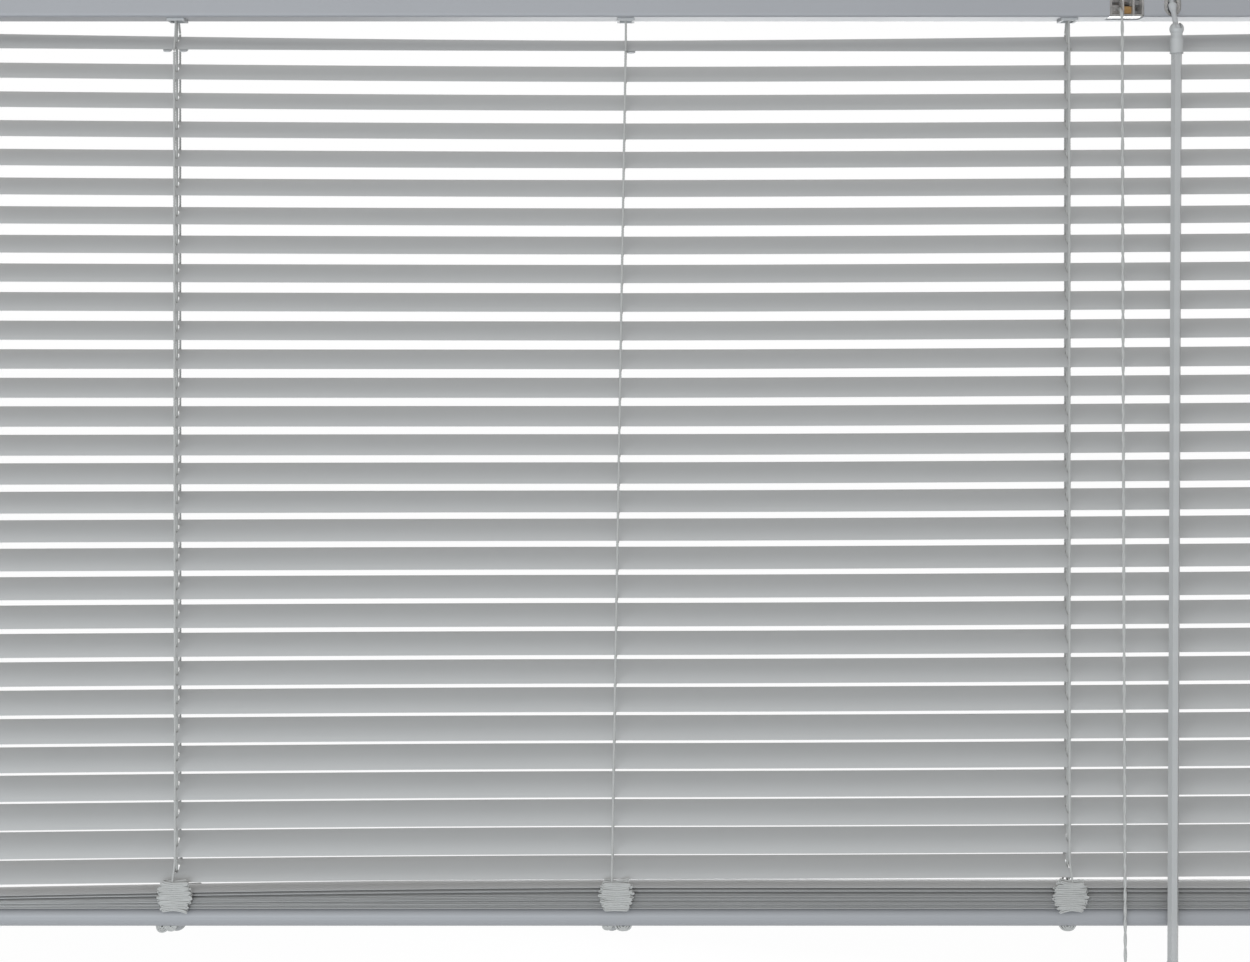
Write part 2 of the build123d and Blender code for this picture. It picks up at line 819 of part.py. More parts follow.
def make_bottom_rail():
    """A closed oval tube with a hole above for each lift cord and one below for each plug."""
    half = slat_length / 2
    rail = along_x(rail_profile(0) - rail_profile(rail_wall), -half, half)
    for side in cord_sides:
        x = side * ladder_spacing
        rail -= Pos(x, 0, rail_top) * Cylinder(cord_hole_radius, rail_height / 2)
    for x in ladder_bottoms:
        rail -= Pos(x, 0, rail_bottom) * Cylinder(plug_stem_radius + running_clearance, rail_height / 2)
    return rail


def make_rail_cap(side):
    end = side * slat_length / 2
    near, far = sorted((end, end + side * cap_flange))
    cap = along_x(rail_profile(0), near, far)
    near, far = sorted((end, end - side * rail_cap_plug))
    return cap + along_x(rail_profile(rail_wall + running_clearance), near, far)


def make_cord_plug(x):
    """A domed button whose stem holds the knotted cord inside the rail."""
    dome_radius = (plug_radius**2 + plug_dome**2) / (2 * plug_dome)
    half_angle = math.asin(plug_radius / dome_radius) / 2
    sag = dome_radius * math.cos(half_angle)
    bulge = (dome_radius * math.sin(half_angle), dome_radius - plug_dome - sag)
    outline = (
        Line((0, plug_stem), (plug_stem_radius, plug_stem))
        + Line((plug_stem_radius, plug_stem), (plug_stem_radius, 0))
        + Line((plug_stem_radius, 0), (plug_radius, 0))
        + ThreePointArc((plug_radius, 0), bulge, (0, -plug_dome))
        + Line((0, -plug_dome), (0, plug_stem))
    )
    return Pos(x, 0, rail_bottom) * revolve(Plane.XZ * make_face(outline), Axis.Z)


parts["headrail"] = [make_headrail()]
parts["headrail_end_caps"] = [make_headrail_cap(side) for side in (-1, 1)]
parts["mounting_brackets"] = [make_bracket(side) for side in (-1, 1)]
parts["gate_left"] = [make_gate(-1)]
parts["gate_right"] = [make_gate(1)]
parts["drum_cradles"] = [make_cradle(x) for x in ladder_tops]
parts["tilt_rod"] = [make_rod()]
parts["tilt_drums"] = [make_drum(x) for x in ladder_tops]
parts["cord_lock_body"] = [make_lock_body()]
parts["cord_lock_roller"] = [make_lock_roller()]
parts["cord_lock_pin"] = [make_lock_pin()]
parts["tilter_housing"] = [make_tilter_housing()]
parts["tilter_gear"] = [make_gear()]
parts["worm_stem"] = [make_stem()]
parts["wand_cap"] = [make_wand_cap()]
parts["wand_rod"] = [make_wand_rod()]
parts["wand_grip"] = [make_wand_grip()]
parts["lift_cords"] = [make_lift_cord(side) for side in cord_sides]
parts["pull_cord"] = [make_pull_cord()]
parts["tassel"] = [make_tassel()]
parts["front_strings"] = make_strings(-1)
parts["back_strings"] = make_strings(1)
parts["ladder_tails_upper"] = make_upper_tails()
parts["ladder_tails_lower"] = make_lower_tails()
parts["gathered_ladders"] = make_gathers()
parts["bottom_rail"] = [make_bottom_rail()]
parts["rail_end_caps"] = [make_rail_cap(side) for side in (-1, 1)]
parts["cord_plugs"] = [make_cord_plug(x) for x in ladder_bottoms]

one_slat = make_slat()
for i in range(hanging_slats):
    parts[f"slat_{i + 1:02d}"] = make_hanging_slat(one_slat, i)
parts["stacked_slats"] = make_stack(one_slat)

os.makedirs("parts", exist_ok=True)
for node, solids in parts.items():
    shape = Compound(children=solids) if len(solids) > 1 else solids[0]
    export_step(shape, os.path.join("parts", node + ".step"))
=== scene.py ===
import math
import random

import bpy
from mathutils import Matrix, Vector


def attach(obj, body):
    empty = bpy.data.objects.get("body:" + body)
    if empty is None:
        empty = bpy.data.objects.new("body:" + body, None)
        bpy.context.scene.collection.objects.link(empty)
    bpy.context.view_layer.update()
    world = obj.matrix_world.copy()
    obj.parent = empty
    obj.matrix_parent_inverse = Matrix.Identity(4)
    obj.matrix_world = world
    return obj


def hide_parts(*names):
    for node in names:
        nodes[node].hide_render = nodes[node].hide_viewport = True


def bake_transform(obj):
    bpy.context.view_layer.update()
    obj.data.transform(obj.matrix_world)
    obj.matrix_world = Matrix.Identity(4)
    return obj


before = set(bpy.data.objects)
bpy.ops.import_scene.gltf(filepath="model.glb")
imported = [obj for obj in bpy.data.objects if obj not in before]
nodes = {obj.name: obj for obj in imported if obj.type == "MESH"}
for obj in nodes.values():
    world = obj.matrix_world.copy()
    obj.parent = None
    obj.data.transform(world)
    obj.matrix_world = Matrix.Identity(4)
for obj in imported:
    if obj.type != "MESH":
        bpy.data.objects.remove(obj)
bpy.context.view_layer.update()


# Room
# The blind hangs in a bright window, so all that lies behind it is white. The camera stands in the room at
# the height of the upper slats and looks straight ahead. Two big soft lamps stand on its side, and two in
# the window.
mm = 0.001
scene = bpy.context.scene
collection = scene.collection
scene.view_settings.view_transform = "Standard"
camera_data = bpy.data.cameras.new("camera")
camera_data.sensor_width = 36
camera_data.lens = 49.94
camera_data.shift_y = -0.144
camera = bpy.data.objects.new("camera", camera_data)
camera.location = (1.9 * mm, -1313 * mm, -239.6 * mm)
camera.rotation_euler = (math.pi / 2, 0, 0)
collection.objects.link(camera)
scene.camera = camera


class Wire:
    """A socket of a node tree, on which sums can be written."""

    def __init__(self, graph, socket):
        self.graph = graph
        self.socket = socket

    def maths(self, operation, *values):
        return self.graph.node("ShaderNodeMath", {"operation": operation}, dict(enumerate(values)))

    def __add__(self, other):
        return self.maths("ADD", self, other)

    def __radd__(self, other):
        return self.maths("ADD", other, self)

    def __sub__(self, other):
        return self.maths("SUBTRACT", self, other)

    def __rsub__(self, other):
        return self.maths("SUBTRACT", other, self)

    def __mul__(self, other):
        return self.maths("MULTIPLY", self, other)

    def __rmul__(self, other):
        return self.maths("MULTIPLY", other, self)

    def __truediv__(self, other):
        return self.maths("DIVIDE", self, other)

    def __rtruediv__(self, other):
        return self.maths("DIVIDE", other, self)

    def __pow__(self, other):
        return self.maths("POWER", self, other)

    def __neg__(self):
        return self.maths("MULTIPLY", self, -1)

    def __abs__(self):
        return self.maths("ABSOLUTE", self)


class Graph:
    """A node tree being written, of a finish or of a shape."""

    def __init__(self, tree):
        self.tree = tree

    def node(self, kind, settings=None, values=None, out=None):
        made = self.tree.nodes.new(kind)
        for key, value in (settings or {}).items():
            setattr(made, key, value)
        for key, value in (values or {}).items():
            if isinstance(key, int):
                socket = made.inputs[key]
            else:
                socket = next(s for s in made.inputs if s.name == key and s.enabled)
            for one in value if isinstance(value, list) else [value]:
                if isinstance(one, Wire):
                    self.tree.links.new(one.socket, socket)
                else:
                    socket.default_value = one
        shown = [s for s in made.outputs if s.enabled and out in (None, s.name)]
        return Wire(self, shown[0]) if shown else made

    def mix(self, share, first, second):
        settings = {"data_type": "RGBA"}
        return self.node("ShaderNodeMix", settings, {"Factor": share, "A": first, "B": second})

    def parts(self, vector):
        return [self.node("ShaderNodeSeparateXYZ", None, {"Vector": vector}, axis) for axis in "XYZ"]

    def vector(self, x, y, z):
        return self.node("ShaderNodeCombineXYZ", None, {"X": x, "Y": y, "Z": z})


def grey(level):
    return (level, level, level, 1)


def seen_directly(graph):
    """1 for rays that show the background, 0 for those that light a surface."""
    kinds = ("Camera", "Glossy", "Transmission")
    camera_ray, glossy_ray, clear_ray = [
        graph.node("ShaderNodeLightPath", None, None, f"Is {kind} Ray") for kind in kinds
    ]
    return camera_ray.maths("MAXIMUM", camera_ray + glossy_ray, clear_ray)


world = bpy.data.worlds.new("window")
world.use_nodes = True
world.node_tree.nodes.clear()
sky = Graph(world.node_tree)
window_light = sky.node("ShaderNodeBackground", None, {"Color": (0.96, 0.98, 1, 1), "Strength": 0.66})
window_white = sky.node("ShaderNodeBackground", None, {"Color": grey(1), "Strength": 1})
window_seen = sky.node("ShaderNodeMixShader", None, {0: seen_directly(sky), 1: window_light, 2: window_white})
sky.node("ShaderNodeOutputWorld", None, {"Surface": window_seen})
scene.world = world


def lamp(name, place, aim, size, power, colour):
    data = bpy.data.lights.new(name, "AREA")
    data.shape = "RECTANGLE"
    data.size, data.size_y = size
    data.energy = power
    data.color = colour
    made = bpy.data.objects.new(name, data)
    made.location = place
    made.rotation_euler = (Vector(aim) - Vector(place)).to_track_quat("-Z", "Y").to_euler()
    collection.objects.link(made)


lamp("lamp_upper", place=(-1.1, -3.4, 0.9), aim=(0, 0, -0.6), size=(2.6, 1.4), power=14,
     colour=(1, 0.95, 0.9))
lamp("lamp_lower", place=(-0.7, -2.2, -0.8), aim=(0, 0, -0.75), size=(2.6, 0.8), power=36,
     colour=(0.83, 0.93, 1))
lamp("lamp_window", place=(0, 2.6, 3.4), aim=(0, 0, -0.6), size=(3, 1.2), power=7,
     colour=(0.86, 0.94, 1))
lamp("lamp_back", place=(0.8, 3.2, -1.0), aim=(0, 0, -0.45), size=(2.6, 1.4), power=32,
     colour=(0.95, 0.98, 1))

floor_data = bpy.data.meshes.new("floor")
floor_reach = 40
floor_level = -1.9
corners = ((-1, -1), (1, -1), (1, 1), (-1, 1))
floor_points = [(x * floor_reach, y * floor_reach, floor_level) for x, y in corners]
floor_data.from_pydata(floor_points, [], [(0, 1, 2, 3)])
floor = bpy.data.objects.new("floor", floor_data)
collection.objects.link(floor)
floor_finish = bpy.data.materials.new("floor")
floor_finish.use_nodes = True
floor_finish.node_tree.nodes.clear()
ground = Graph(floor_finish.node_tree)
ground_matt = ground.node("ShaderNodeBsdfDiffuse", None, {"Color": grey(0.8)})
ground_white = ground.node("ShaderNodeEmission", None, {"Color": grey(1), "Strength": 1})
floor_white_share = 0.97
ground_seen = seen_directly(ground) * floor_white_share
ground_mixed = ground.node("ShaderNodeMixShader", None, {0: ground_seen, 1: ground_matt, 2: ground_white})
ground.node("ShaderNodeOutputMaterial", None, {"Surface": ground_mixed})
floor_data.materials.append(floor_finish)


# Headrail
# A strip of thin steel folded into a channel with its mouth upwards, enamelled like the slats before folding.
# Windows for the cord lock and the tilter are punched through its front and floor.
def finish(name, colour, spread, grain, roughness, bump, settings=None):
    """A material whose colour and sheen drift a little over the surface, with a fine skin."""
    sheen_drift = 0.12
    skin_grain = 1400
    skin_depth = 0.0002
    made = bpy.data.materials.new(name)
    made.use_nodes = True
    made.node_tree.nodes.clear()
    graph = Graph(made.node_tree)
    place = graph.node("ShaderNodeTexCoord", None, None, "Object")
    cloud = graph.node("ShaderNodeTexNoise", None, {"Vector": place, "Scale": grain, "Detail": 4}, "Fac")
    dark = tuple(channel * (1 - spread) for channel in colour) + (1,)
    light = tuple(min(1, channel * (1 + spread)) for channel in colour) + (1,)
    skin = graph.node("ShaderNodeTexNoise", None, {"Vector": place, "Scale": skin_grain, "Detail": 2}, "Fac")
    relief = {"Strength": bump, "Distance": skin_depth, "Height": skin}
    values = {
        "Base Color": graph.mix(cloud, dark, light),
        "Roughness": roughness + sheen_drift * (cloud - 0.5),
        "Normal": graph.node("ShaderNodeBump", None, relief),
    }
    values.update(settings or {})
    surface = graph.node("ShaderNodeBsdfPrincipled", None, values)
    graph.node("ShaderNodeOutputMaterial", None, {"Surface": surface})
    return made


def dress(name, material):
    """Gives a piece of the frame its finish."""
    piece = nodes[name]
    piece.data.materials.clear()
    piece.data.materials.append(material)


# Painted shade: the headrail has the same enamel as the slats, but its colour is set darker to stand in for
# the shade on it.
headrail_enamel = finish(
    "headrail_enamel", (0.3, 0.3, 0.313), spread=0.03, grain=9, roughness=0.45, bump=0.05,
)
dress("headrail", headrail_enamel)

# Headrail end caps
# Moulded caps pressed into the two open ends of the channel, where friction holds them.
# They are a little paler than the enamel beside them.
end_cap_plastic = finish(
    "end_cap_plastic", (0.43, 0.43, 0.44), spread=0.04, grain=30, roughness=0.45, bump=0.1,
)
dress("headrail_end_caps", end_cap_plastic)

# Brackets and gates
# Folded steel boxes, enamelled like the rail and screwed to the wall or the ceiling. A gate hinged at the
# front of each box keeps the headrail in.
bracket_enamel = finish("bracket_enamel", (0.44, 0.44, 0.45), spread=0.04, grain=25, roughness=0.4, bump=0.06)
for name in ("mounting_brackets", "gate_left", "gate_right"):
    dress(name, bracket_enamel)

# Tilt rod, drums and cradles
# A drawn steel rod of six flats turns three moulded drums. Each drum lies in a cradle whose snout stands
# through the floor of the headrail.
rod_steel = finish(
    "rod_steel", (0.45, 0.45, 0.46), spread=0.1, grain=60, roughness=0.3, bump=0.05,
    settings={"Metallic": 1.0},
)
dress("tilt_rod", rod_steel)
mechanism_plastic = finish(
    "mechanism_plastic", (0.41, 0.41, 0.41), spread=0.05, grain=40, roughness=0.5, bump=0.08,
)
for name in ("tilt_drums", "drum_cradles", "tilter_gear"):
    dress(name, mechanism_plastic)

# Cord lock
# A clear moulded body snapped into its window. A brass roller falls down slanted grooves in it and nips the
# cords against a steel pin.
clear_plastic = finish(
    "clear_plastic", (0.8, 0.77, 0.74), spread=0.05, grain=50, roughness=0.2, bump=0.04,
    settings={"Transmission Weight": 0.75, "IOR": 1.49},
)
dress("cord_lock_body", clear_plastic)
roller_brass = finish(
    "roller_brass", (0.34, 0.2, 0.075), spread=0.15, grain=300, roughness=0.5, bump=0.1,
    settings={"Metallic": 0.5},
)
dress("cord_lock_pin", rod_steel)

# Cord lock roller
# Turned from brass bar, with straight knurling round its drum to bite on the cords. A thin axle at each end
# of it runs in the grooves of the lock.
def new_shape(name, inputs):
    """An empty shape tree with these named inputs and their first values."""
    tree = bpy.data.node_groups.new(name, "GeometryNodeTree")
    tree.interface.new_socket("Geometry", in_out="INPUT", socket_type="NodeSocketGeometry")
    kinds = {int: "NodeSocketInt", float: "NodeSocketFloat", tuple: "NodeSocketVector"}
    for label, value in inputs.items():
        kind = kinds.get(type(value), "NodeSocketMaterial")
        socket = tree.interface.new_socket(label, in_out="INPUT", socket_type=kind)
        socket.default_value = value
    tree.interface.new_socket("Geometry", in_out="OUTPUT", socket_type="NodeSocketGeometry")
    graph = Graph(tree)
    return graph, {label: graph.node("NodeGroupInput", None, None, label) for label in ("Geometry", *inputs)}


def end_shape(graph, geometry, material):
    smooth = graph.node("GeometryNodeSetShadeSmooth", None, {"Geometry": geometry, "Shade Smooth": True})
    real = graph.node("GeometryNodeRealizeInstances", None, {"Geometry": smooth})
    dressed = graph.node("GeometryNodeSetMaterial", None, {"Geometry": real, "Material": material})
    graph.node("NodeGroupOutput", None, {"Geometry": dressed})


def grow(graph, name, values, start=None):
    """A plain mesh piece made by a shape tree, from nothing or from a curve."""
    seed = bpy.data.objects.new(name + ".seed", start or bpy.data.meshes.new(name + ".seed"))
    collection.objects.link(seed)
    modifier = seed.modifiers.new("shape", "NODES")
    modifier.node_group = graph.tree
    for item in graph.tree.interface.items_tree:
        if item.in_out == "INPUT" and item.name in values:
            modifier[item.identifier] = values[item.name]
    depsgraph = bpy.context.evaluated_depsgraph_get()
    mesh = bpy.data.meshes.new_from_object(
        seed.evaluated_get(depsgraph), preserve_all_data_layers=True, depsgraph=depsgraph
    )
    bpy.data.objects.remove(seed)
    mesh.name = name
    mesh.set_sharp_from_angle(angle=math.radians(40))
    made = bpy.data.objects.new(name, mesh)
    collection.objects.link(made)
    return made


roller_shape, roller = new_shape(
    "roller",
    {
        "Radius": 3 * mm,
        "Knurl": 0.22 * mm,
        "Teeth": 26,
        "Length": 6 * mm,
        "Axle radius": 1.2 * mm,
        "Axle length": 8.4 * mm,
        "Brass": roller_brass,
    },
)
knurled = {
    "Points": roller["Teeth"],
    "Inner Radius": roller["Radius"] - roller["Knurl"],
    "Outer Radius": roller["Radius"],
}
drum_ring = roller_shape.node("GeometryNodeCurveStar", None, knurled, "Curve")
axle_round = {"Resolution": 16, "Radius": roller["Axle radius"]}
axle_ring = roller_shape.node("GeometryNodeCurvePrimitiveCircle", {"mode": "RADIUS"}, axle_round, "Curve")
bars = []
for ring, length in ((drum_ring, roller["Length"]), (axle_ring, roller["Axle length"])):
    ends = {"Start": roller_shape.vector(-length / 2, 0, 0), "End": roller_shape.vector(length / 2, 0, 0)}
    axis = roller_shape.node("GeometryNodeCurvePrimitiveLine", {"mode": "POINTS"}, ends)
    bar = {"Curve": axis, "Profile Curve": ring, "Fill Caps": True}
    bars.append(roller_shape.node("GeometryNodeCurveToMesh", None, bar))
bars = roller_shape.node("GeometryNodeJoinGeometry", None, {"Geometry": bars})
roller_place = (379.7 * mm, -6.5 * mm, -20.6 * mm)
bars = roller_shape.node("GeometryNodeTransform", None, {"Geometry": bars, "Translation": roller_place})
end_shape(roller_shape, bars, roller["Brass"])
roller_piece = grow(roller_shape, "knurled_roller", {})
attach(roller_piece, "lock_roller")
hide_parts("cord_lock_roller")

# Tilter
# A clear housing round the gear on the rod and the worm that drives it; the worm's stem comes out through the
# floor of the headrail at a slant and ends in a ball.
dress("tilter_housing", clear_plastic)
dress("worm_stem", mechanism_plastic)
thread_shape, thread = new_shape(
    "thread",
    {"Turns": 4.5, "Radius": 2.5 * mm, "Length": 9.5 * mm, "Ridge": 0.25 * mm, "Plastic": mechanism_plastic},
)
coil = {"Resolution": 20, "Rotations": thread["Turns"], "Height": thread["Length"]}
coil.update({"Start Radius": thread["Radius"], "End Radius": thread["Radius"]})
coil = thread_shape.node("GeometryNodeCurveSpiral", None, coil)
ridge_round = {"Resolution": 6, "Radius": thread["Ridge"]}
ridge = thread_shape.node("GeometryNodeCurvePrimitiveCircle", {"mode": "RADIUS"}, ridge_round, "Curve")
ridged = {"Curve": coil, "Profile Curve": ridge, "Fill Caps": True}
coil = thread_shape.node("GeometryNodeCurveToMesh", None, ridged)
middle = thread_shape.vector(0, 0, -thread["Length"] / 2)
coil = thread_shape.node("GeometryNodeTransform", None, {"Geometry": coil, "Translation": middle})
worm_place = (412.7 * mm, -7.064 * mm, -9.544 * mm)
worm_turn = (math.radians(152), 0, 0)
set_in = {"Geometry": coil, "Translation": worm_place, "Rotation": worm_turn}
coil = thread_shape.node("GeometryNodeTransform", None, set_in)
end_shape(thread_shape, coil, thread["Plastic"])
thread_piece = grow(thread_shape, "worm_thread", {})
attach(thread_piece, "worm")

# Wand
# A moulded cup snapped over the ball carries an extruded acrylic rod of six flats. A moulded grip is pushed on
# the rod's lower end.
wand_cap_plastic = finish(
    "wand_cap_plastic", (0.39, 0.39, 0.385), spread=0.05, grain=60, roughness=0.4, bump=0.08,
)
dress("wand_cap", wand_cap_plastic)
wand_acrylic = finish(
    "wand_acrylic", (0.45, 0.447, 0.44), spread=0.03, grain=20, roughness=0.3, bump=0.02,
    settings={"Transmission Weight": 0.2, "IOR": 1.49},
)
dress("wand_rod", wand_acrylic)
dress("wand_grip", wand_cap_plastic)


# Slats
# Strips of thin aluminium, rolled to a shallow crown and enamelled, with rounded corners and a punched slot
# for each lift cord. They hang a little bowed and twisted, as the strings have stretched unevenly.
def moved(graph, geometry, x, y, z):
    place = graph.vector(x, y, z)
    return graph.node("GeometryNodeSetPosition", None, {"Geometry": geometry, "Position": place})


def thickened(graph, sheet, depth):
    """A sheet pushed out along its normals into a closed solid."""
    values = {"Mesh": sheet, "Offset Scale": depth, "Individual": False}
    walls = graph.node("GeometryNodeExtrudeMesh", {"mode": "FACES"}, values, "Mesh")
    back = graph.node("GeometryNodeFlipFaces", None, {"Mesh": sheet})
    joined = graph.node("GeometryNodeJoinGeometry", None, {"Geometry": [walls, back]})
    return graph.node("GeometryNodeMergeByDistance", None, {"Geometry": joined, "Distance": 1e-6})


hang_labels = ("Tilt", "Level", "Slide", "Twist left", "Twist right", "Sag left", "Sag right")
hang_inputs = {label: 0.0 for label in hang_labels}
bow_power = 1.5


def hung(graph, geometry, inputs, half):
    """Turns a flat piece to its slat's tilt, at its level, with the bow and twist of its ends."""
    x, y, z = graph.parts(graph.node("GeometryNodeInputPosition"))
    left = (-x / half).maths("MAXIMUM", -x / half, 0) ** bow_power
    right = (x / half).maths("MAXIMUM", x / half, 0) ** bow_power
    angle = inputs["Tilt"] + inputs["Twist left"] * left + inputs["Twist right"] * right
    sine, cosine = angle.maths("SINE", angle), angle.maths("COSINE", angle)
    sag = inputs["Sag left"] * left + inputs["Sag right"] * right
    depth = y * cosine - z * sine + inputs["Slide"]
    return moved(graph, geometry, x, depth, y * sine + z * cosine + inputs["Level"] + sag)


ladder_place = 337
slat_half = 498 * mm
slat_drop = 1.331 * mm
slat_enamel = finish("slat_enamel", (0.455, 0.451, 0.444), spread=0.025, grain=7, roughness=0.42, bump=0.05)
slat_shape, slat = new_shape(
    "slat",
    {
        "Width": 25 * mm,
        "Crown": 2 * mm,
        "Thickness": 0.21 * mm,
        "Corner": 3 * mm,
        "Slot width": 2.5 * mm,
        "Slot length": 9 * mm,
        "Slot place": ladder_place * mm,
        "Enamel": slat_enamel,
        **hang_inputs,
    },
)
width, crown, corner = slat["Width"], slat["Crown"], slat["Corner"]
flat_strip = {"Size X": 2 * slat_half, "Size Y": width, "Vertices X": 61, "Vertices Y": 15}
strip = slat_shape.node("GeometryNodeMeshGrid", None, flat_strip, "Mesh")
x, y, z = slat_shape.parts(slat_shape.node("GeometryNodeInputPosition"))
past_corner = abs(y) - (width / 2 - corner)
past_corner = past_corner.maths("MAXIMUM", past_corner, 0)
inset = corner - (corner * corner - past_corner * past_corner) ** 0.5
arc = (crown * crown + width * width / 4) / (2 * crown)
height = (arc * arc - y * y) ** 0.5 - arc + crown - slat_drop - slat["Thickness"] / 2
strip = moved(slat_shape, strip, x * (1 - inset / slat_half), y, height)
strip = thickened(slat_shape, strip, slat["Thickness"])
slot_size = {"Width": slat["Slot width"], "Height": slat["Slot length"]}
slot_outline = slat_shape.node("GeometryNodeCurvePrimitiveQuadrilateral", None, slot_size)
slot_rounding = 0.49
slot_ends = {"Curve": slot_outline, "Radius": slat["Slot width"] * slot_rounding, "Count": 5}
slot_outline = slat_shape.node("GeometryNodeFilletCurve", {"mode": "POLY"}, slot_ends)
punch_depth = 10 * mm
punch = slat_shape.node("GeometryNodeFillCurve", {"mode": "NGONS"}, {"Curve": slot_outline})
punch = thickened(slat_shape, punch, punch_depth)
punches = []
for side in (-1, 1):
    place = slat_shape.vector(slat["Slot place"] * side, 0, -punch_depth / 2)
    punches.append(slat_shape.node("GeometryNodeTransform", None, {"Geometry": punch, "Translation": place}))
strip = slat_shape.node(
    "GeometryNodeMeshBoolean", {"operation": "DIFFERENCE"}, {"Mesh 1": strip, "Mesh 2": punches}, "Mesh"
)
end_shape(slat_shape, hung(slat_shape, strip, slat, slat_half), slat["Enamel"])


hanging_count = 30
slat_pitch = 21.5
first_level = -45.1
last_level = -667.2
tilt_of_most = 34
tilt_of_first = 26
tilt_of_last = 25


def hang_of(number):
    """The tilt, level, twist and sag of a hanging slat, counted from 1."""
    down = (number - 1) / (hanging_count - 1)
    last = number == hanging_count
    # How far the two ends droop and the strings have stretched, in millimetres.
    sag_left = 3.8 - 9.6 * down + 1.2 * down * down
    sag_right = 2.2 + 2.0 * down - 1.8 * down * down
    stretch = 4.6 * down * (1 - down)
    values = {
        "Tilt": math.radians(tilt_of_last if last else tilt_of_most),
        "Level": (last_level if last else first_level - slat_pitch * (number - 1) - stretch) * mm,
        "Sag left": sag_left * mm,
        "Sag right": sag_right * mm,
    }
    if number == 1:
        values["Tilt"] = math.radians(tilt_of_first)
        values["Twist left"] = math.radians(8)
        values["Twist right"] = math.radians(15)
    return values


for number in range(1, hanging_count + 1):
    name = f"slat_{number:02d}"
    piece = grow(slat_shape, name + "_strip", hang_of(number))
    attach(piece, name)
    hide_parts(name)

# Clips of the first slat
# Moulded tabs pushed on the front edge of the first slat, beside two of the ladders. They keep the slat from
# sliding out sideways.
clip_shape, clip = new_shape(
    "clip",
    {"Width": 6.5 * mm, "Length": 8 * mm, "Depth": 1.1 * mm, "Plastic": mechanism_plastic, **hang_inputs},
)
clip_size = {"Width": clip["Width"], "Height": clip["Length"]}
clip_outline = clip_shape.node("GeometryNodeCurvePrimitiveQuadrilateral", None, clip_size)
clip_rounding = 0.45
clip_ends = {"Curve": clip_outline, "Radius": clip["Width"] * clip_rounding, "Count": 6}
clip_outline = clip_shape.node("GeometryNodeFilletCurve", {"mode": "POLY"}, clip_ends)
tab = clip_shape.node("GeometryNodeFillCurve", {"mode": "NGONS"}, {"Curve": clip_outline})
tab = thickened(clip_shape, tab, clip["Depth"])
clip_front = -14.6 * mm
clip_under = -2.75 * mm
tabs = []
for x in (-342.1, -330.1, 6.4):
    place = clip_shape.vector(x * mm, clip_front + clip["Length"] / 2, clip_under)
    tabs.append(clip_shape.node("GeometryNodeTransform", None, {"Geometry": tab, "Translation": place}))
tabs = clip_shape.node("GeometryNodeJoinGeometry", None, {"Geometry": tabs})
end_shape(clip_shape, hung(clip_shape, tabs, clip, slat_half), clip["Plastic"])
clip_piece = grow(clip_shape, "first_slat_clips", hang_of(1))
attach(clip_piece, "slat_01")

# Stacked slats
# The same strips, those that have come to rest on the bottom rail. Each lies on the crown of the one below,
# and the upper ones lean and droop to the left.
stack_count = 13
stack_chance = random.Random(4)
stack_lean = -4
stack_droop = {"Sag left": -6.8, "Sag right": -0.2}
loose_gaps = (2.2, 0.8, 2.5)
tight_gap = 1.02
level = -679
for number in range(stack_count):
    height_share = 1 - number / (stack_count - 1)
    values = {
        "Level": level * mm,
        "Tilt": math.radians(stack_lean * height_share + stack_chance.uniform(-0.6, 0.6)),
        "Slide": stack_chance.uniform(-0.7, 0.7) * mm,
        **{label: droop * height_share * mm for label, droop in stack_droop.items()},
    }
    piece = grow(slat_shape, f"stack_slat_{number + 1:02d}", values)
    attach(piece, "headrail")
    level -= loose_gaps[number] if number < len(loose_gaps) else tight_gap
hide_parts("stacked_slats")


# Ladder strings
# Three strands of white polyester yarn twisted together. Three strings hang in front of the slats and three
# behind, with a rung between them under every slat.
cord_yarn = finish("cord_yarn", (0.395, 0.39, 0.376), spread=0.12, grain=900, roughness=0.8, bump=0.12)
yarn_shape, yarn = new_shape(
    "yarn",
    {"Strands": 3, "Strand": 0.46 * mm, "Spread": 0.4 * mm, "Pitch": 6 * mm, "Steps": 8, "Yarn": cord_yarn},
)
step = yarn["Pitch"] / yarn["Steps"]
evenly = {"Curve": yarn["Geometry"], "Length": step}
line = yarn_shape.node("GeometryNodeResampleCurve", {"mode": "LENGTH"}, evenly)
spread = {"Geometry": line, "Amount": yarn["Strands"]}
strands = yarn_shape.node("GeometryNodeDuplicateElements", {"domain": "SPLINE"}, spread, "Geometry")
strand_index = strands.socket.node.outputs["Duplicate Index"]
run = yarn_shape.node("GeometryNodeSplineParameter", None, None, "Length")
turn = 2 * math.pi * (run / yarn["Pitch"] + Wire(yarn_shape, strand_index) / yarn["Strands"])
normal = yarn_shape.node("GeometryNodeInputNormal")
tangent = yarn_shape.node("GeometryNodeInputTangent")
side = yarn_shape.node("ShaderNodeVectorMath", {"operation": "CROSS_PRODUCT"}, {0: tangent, 1: normal})
across_reach, along_reach = [turn.maths(wave, turn) * yarn["Spread"] for wave in ("COSINE", "SINE")]
across = yarn_shape.node("ShaderNodeVectorMath", {"operation": "SCALE"}, {0: normal, "Scale": across_reach})
along = yarn_shape.node("ShaderNodeVectorMath", {"operation": "SCALE"}, {0: side, "Scale": along_reach})
offset = yarn_shape.node("ShaderNodeVectorMath", {"operation": "ADD"}, {0: across, 1: along})
strands = yarn_shape.node("GeometryNodeSetPosition", None, {"Geometry": strands, "Offset": offset})
ring = {"Resolution": 6, "Radius": yarn["Strand"]}
section = yarn_shape.node("GeometryNodeCurvePrimitiveCircle", {"mode": "RADIUS"}, ring, "Curve")
skin = {"Curve": strands, "Profile Curve": section, "Fill Caps": True}
strands = yarn_shape.node("GeometryNodeCurveToMesh", None, skin)
